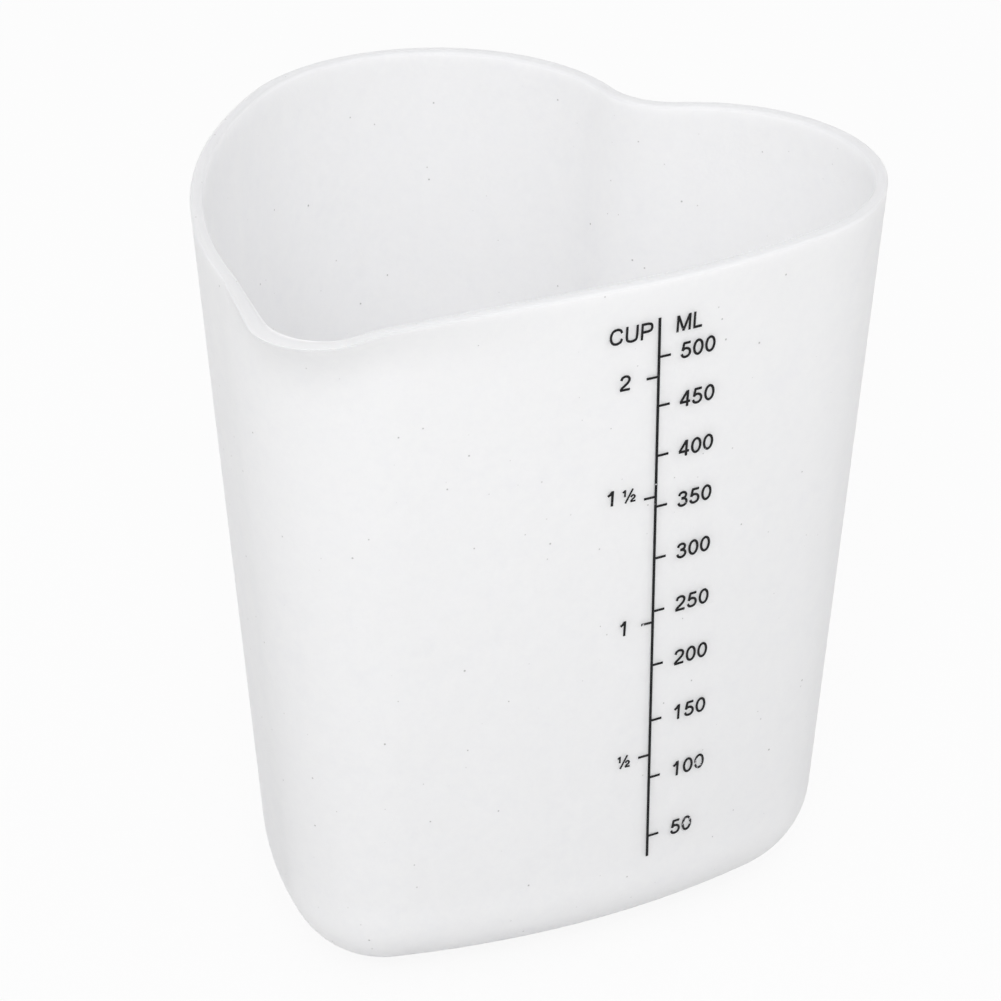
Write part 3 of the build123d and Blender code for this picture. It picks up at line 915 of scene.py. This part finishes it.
@dataclass
class PrintedScale:
    """The scale printed on the right wall: its line and marks are CAD nodes, and its words are drawn here."""

    cup: CupBody
    line_share: float = 0.592
    ink_height: float = 0.07
    ink_root: float = 0.12
    # Strokes that cross lie this much above each other, in turn, so that no two faces share a plane
    stroke_step: float = 0.003
    stroke_layers: int = 4
    cup_numbers: tuple[tuple[str, str], ...] = (
        ("half_cup", "\u00bd"), ("one_cup", "1"), ("one_and_half_cups", "1 \u00bd"), ("two_cups", "2"),
    )
    millilitre_numbers: range = range(50, 501, 50)
    inked_nodes: tuple[str, ...] = ("scale_line", "millilitre_marks", "cup_marks")
    # The column of numbers stands more upright than the line, so they shift a little with their height
    column_lean: float = 0.0065
    column_middle: float = 65.0
    rubs: tuple[RubbedPlace, ...] = (
        RubbedPlace(across=-0.86, height=81.7, radius=0.2, loss=0.4),
        RubbedPlace(across=10.0, height=30.4, radius=1.3, loss=0.22),
        RubbedPlace(across=8.7, height=19.9, radius=1.3, loss=0.22),
        RubbedPlace(across=-1.3, height=57.9, radius=0.45, loss=0.36),
    )

    def words(self) -> dict[str, str]:
        """Give the words of the print by the node that stands for each.

        Returns:
            Each word by its CAD node's name.
        """
        words = {"cup_heading": "CUP", "millilitre_heading": "ML"}
        words |= {f"number_{count}_ml": str(count) for count in self.millilitre_numbers}
        words |= {f"number_{name}": word for name, word in self.cup_numbers}
        return words

    def side(self) -> tuple[Bend, float]:
        """Give the side that carries the print, and the heading that the print faces."""
        side = self.cup.plan.bends()[0]
        return side, side.start + self.line_share * (side.end - side.start)

    def on_wall(self, across: float, height: float, lift: float) -> Vector:
        """Find a place on the wall.

        Args:
            across: Level distance from the middle of the print, to the right as it is read.
            height: Height above the base.
            lift: How far the place stands off the wall.

        Returns:
            The place, in metres.
        """
        side, facing = self.side()
        radius = side.radius - (self.cup.height - height) * self.cup.slope()
        turn = facing + math.degrees(math.asin(across / radius))
        x, y = toward(side.centre, turn, radius)
        tilt = math.radians(self.cup.draft)
        out = Vector((*toward((0.0, 0.0), turn, math.cos(tilt)), -math.sin(tilt)))
        return (Vector((x, y, height)) - self.cup.shift + lift * out) * MM

    def across(self, place: Vector) -> float:
        """Measure how far a place lies across the print, the other way round from on_wall.

        Args:
            place: The place, in metres.

        Returns:
            Its level distance from the middle of the print.
        """
        side, facing = self.side()
        local = Vector(place) / MM + self.cup.shift
        turn = math.radians(facing)
        return (local.x - side.centre[0]) * -math.sin(turn) + (local.y - side.centre[1]) * math.cos(turn)

    def fitted(self, word: str, node: bpy.types.Object) -> list[PenStroke]:
        """Draw a word in the space of its CAD node.

        Args:
            word: The word.
            node: The CAD node whose space it fills.

        Returns:
            The word's strokes, in millimetres across the print and above the base.
        """
        strokes = []
        start = 0.0
        for letter in (LETTERS[sign] for sign in word):
            strokes += letter.strokes(start)
            start += letter.advance
        xs, ys = zip(*(corner for stroke in strokes for pair in stroke.edges for corner in pair))
        places = [self.across(vert.co) for vert in node.data.vertices]
        heights = [vert.co.z / MM for vert in node.data.vertices]
        left, base = min(places), min(heights)
        tall = (max(heights) - base) / (max(ys) - min(ys))
        wide = (max(places) - left) / (max(xs) - min(xs))
        if word in map(str, self.millilitre_numbers):
            wide = tall
            left += self.column_lean * (self.column_middle - base)
        first, foot = min(xs), min(ys)
        return [
            PenStroke([tuple((left + (x - first) * wide, base + (y - foot) * tall) for x, y in pair)
                       for pair in stroke.edges], stroke.loop)
            for stroke in strokes
        ]

    def word_mesh(self, name: str, strokes: Sequence[PenStroke]) -> bpy.types.Mesh:
        """Lay the strokes of a word on the wall as closed thin ribbons.

        Args:
            name: Name of the new mesh.
            strokes: The strokes, in millimetres.

        Returns:
            The mesh.
        """
        shape = bmesh.new()
        for order, stroke in enumerate(strokes):
            top = self.ink_height + order % self.stroke_layers * self.stroke_step
            stations = []
            for first, second in stroke.edges:
                corners = ((first, top), (second, top), (second, -self.ink_root), (first, -self.ink_root))
                stations.append([shape.verts.new(self.on_wall(*place, lift)) for place, lift in corners])
            following = stations[1:] + stations[:1] if stroke.loop else stations[1:]
            for here, there in zip(stations, following):
                for i, j in CupBody.pairs_round(len(here)):
                    shape.faces.new((here[i], here[j], there[j], there[i]))
            if not stroke.loop:
                shape.faces.new(stations[0])
                shape.faces.new(stations[-1][::-1])
        return finished_mesh(name, shape)

    def build(self, nodes: dict[str, bpy.types.Object]) -> None:
        """Ink the line and the marks, and draw the words.

        Args:
            nodes: The CAD nodes by name.
        """
        rubs = tuple((self.on_wall(rub.across, rub.height, 0.0), rub) for rub in self.rubs)
        ink = PadPrintedInk(rubs=rubs).material()
        for name in self.inked_nodes:
            nodes[name].data.materials.clear()
            nodes[name].data.materials.append(ink)
            LOG.info("%s: inked", name)
        for node, word in self.words().items():
            name = "printed_" + node.removeprefix("number_")
            piece = mesh_object(name, self.word_mesh(name, self.fitted(word, nodes[node])), ink)
            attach(piece, "root")
            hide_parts(node)
            LOG.info("%s: drawn on the wall", name)


@dataclass
class PhotoCamera:
    """Camera of a product photograph: a long lens from the right front, looking down on the cup.

    Its place and lens were fitted to the outline of the cup in the photograph.
    """

    azimuth: float = 32.827
    elevation: float = 27.553
    distance: float = 679.46
    roll: float = 0.114
    target: Triple = (-6.918, 20.086, 55.855)
    lens: float = 159.27
    sensor: float = 36.0
    nearest: float = 10.0

    def build(self) -> None:
        """Place the camera and make it the scene's own."""
        azimuth, elevation = math.radians(self.azimuth), math.radians(self.elevation)
        back = Vector((
            math.sin(azimuth) * math.cos(elevation),
            -math.cos(azimuth) * math.cos(elevation),
            math.sin(elevation),
        ))
        right = Vector((0, 0, 1)).cross(back).normalized()
        up = back.cross(right)
        turn = Matrix.Rotation(math.radians(self.roll), 4, back)
        data = bpy.data.cameras.new("camera")
        data.lens = self.lens
        data.sensor_width = self.sensor
        data.clip_start = self.nearest * MM
        camera = bpy.data.objects.new("camera", data)
        place = (Vector(self.target) + back * self.distance) * MM
        facing = Matrix((right, up, back)).transposed().to_4x4()
        camera.matrix_world = Matrix.Translation(place) @ turn @ facing
        bpy.context.scene.collection.objects.link(camera)
        bpy.context.scene.camera = camera


class SeenBy(Enum):
    """Rays that see the background plain white, so that gloss shows it too."""

    CAMERA = "Is Camera Ray"
    GLOSS = "Is Glossy Ray"
    TRANSMISSION = "Is Transmission Ray"


@dataclass
class Studio:
    """A white floor under a soft sky, brighter overhead, and a large lamp above and behind the camera."""

    floor_size: float = 4000.0
    floor_white: str = "E2E2E2"
    # Share of the floor that is seen plain white. The rest keeps the cup's shadow
    floor_cover: float = 0.9
    sky_white: str = "FEFEFF"
    horizon_strength: float = 0.56
    zenith_strength: float = 1.08
    key_power: float = 4.1
    key_size: float = 500.0
    key_place: Triple = (490.0, -850.0, 820.0)
    key_aim: float = 50.0

    def build(self) -> None:
        """Lay the floor and set the light."""
        bpy.context.scene.view_settings.view_transform = "Standard"
        self.sky()
        self.floor()
        self.lamp("key", self.key_place, self.key_size, self.key_power)

    def sky(self) -> None:
        """Light the cup softly from all round, and show the camera a plain white background."""
        world = bpy.data.worlds.new("studio")
        world.use_nodes = True
        bpy.context.scene.world = world
        tree = world.node_tree
        tree.nodes.clear()
        colour = linear(self.sky_white)
        way = add_node(tree, "ShaderNodeTexCoord").outputs["Generated"]
        rise = add_node(tree, "ShaderNodeSeparateXYZ", None, {0: way}).outputs["Z"]
        strength = add_node(
            tree, "ShaderNodeMapRange",
            {"To Min": self.horizon_strength, "To Max": self.zenith_strength}, {"Value": rise},
        )
        light = {"Strength": strength.outputs["Result"]}
        sky = add_node(tree, "ShaderNodeBackground", {"Color": colour}, light)
        seen = add_node(tree, "ShaderNodeBackground", {"Color": colour, "Strength": 1.0})
        shares = {0: self.seen_share(tree, 1.0), 1: sky.outputs[0], 2: seen.outputs[0]}
        both = add_node(tree, "ShaderNodeMixShader", None, shares)
        add_node(tree, "ShaderNodeOutputWorld", None, {"Surface": both.outputs[0]})

    def seen_share(self, tree: bpy.types.NodeTree, share: float) -> bpy.types.NodeSocket:
        """Give a share for the rays that see the background, and 0 for the ones that light the cup.

        Args:
            tree: The material's or world's node tree.
            share: The share.

        Returns:
            The share, by the kind of ray.
        """
        ray = add_node(tree, "ShaderNodeLightPath")
        total = ray.outputs[SeenBy.CAMERA.value]
        for kind in (SeenBy.GLOSS, SeenBy.TRANSMISSION):
            links = {0: total, 1: ray.outputs[kind.value]}
            total = add_node(tree, "ShaderNodeMath", {"operation": "MAXIMUM"}, links).outputs[0]
        return add_node(tree, "ShaderNodeMath", {"operation": "MULTIPLY", 1: share}, {0: total}).outputs[0]

    def floor(self) -> None:
        """Lay a matt white floor. It is seen nearly white and keeps a soft share of the cup's shadow."""
        mesh = bpy.data.meshes.new("floor")
        half = self.floor_size * MM / 2
        corners = [(-half, -half, 0.0), (half, -half, 0.0), (half, half, 0.0), (-half, half, 0.0)]
        mesh.from_pydata(corners, [], [(0, 1, 2, 3)])
        material = bpy.data.materials.new("floor_white")
        material.use_nodes = True
        tree = material.node_tree
        tree.nodes.clear()
        paper = add_node(tree, "ShaderNodeBsdfDiffuse", {"Color": linear(self.floor_white)})
        white = add_node(tree, "ShaderNodeEmission", {"Strength": 1.0})
        shares = {0: self.seen_share(tree, self.floor_cover), 1: paper.outputs[0], 2: white.outputs[0]}
        mix = add_node(tree, "ShaderNodeMixShader", None, shares)
        add_node(tree, "ShaderNodeOutputMaterial", None, {"Surface": mix.outputs[0]})
        mesh_object("floor", mesh, material)

    def lamp(self, name: str, place: Triple, size: float, power: float) -> None:
        """Hang a soft square lamp that faces the cup.

        Args:
            name: The lamp's name.
            place: Where it hangs.
            size: Length of its side.
            power: Its power in watts.
        """
        data = bpy.data.lights.new(name, "AREA")
        data.size = size * MM
        data.energy = power
        lamp = bpy.data.objects.new(name, data)
        spot = Vector(place) * MM
        lamp.location = spot
        lamp.rotation_euler = (spot - Vector((0, 0, self.key_aim * MM))).to_track_quat("Z", "Y").to_euler()
        bpy.context.scene.collection.objects.link(lamp)


def main() -> None:
    """Load the frame, build the cup, its print and the studio."""
    logging.basicConfig(level=logging.INFO, format="%(message)s")
    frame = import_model()
    cup = CupBody()
    cup.build()
    PrintedScale(cup).build(frame["nodes"])
    PhotoCamera().build()
    Studio().build()


if __name__ == "__main__":
    main()
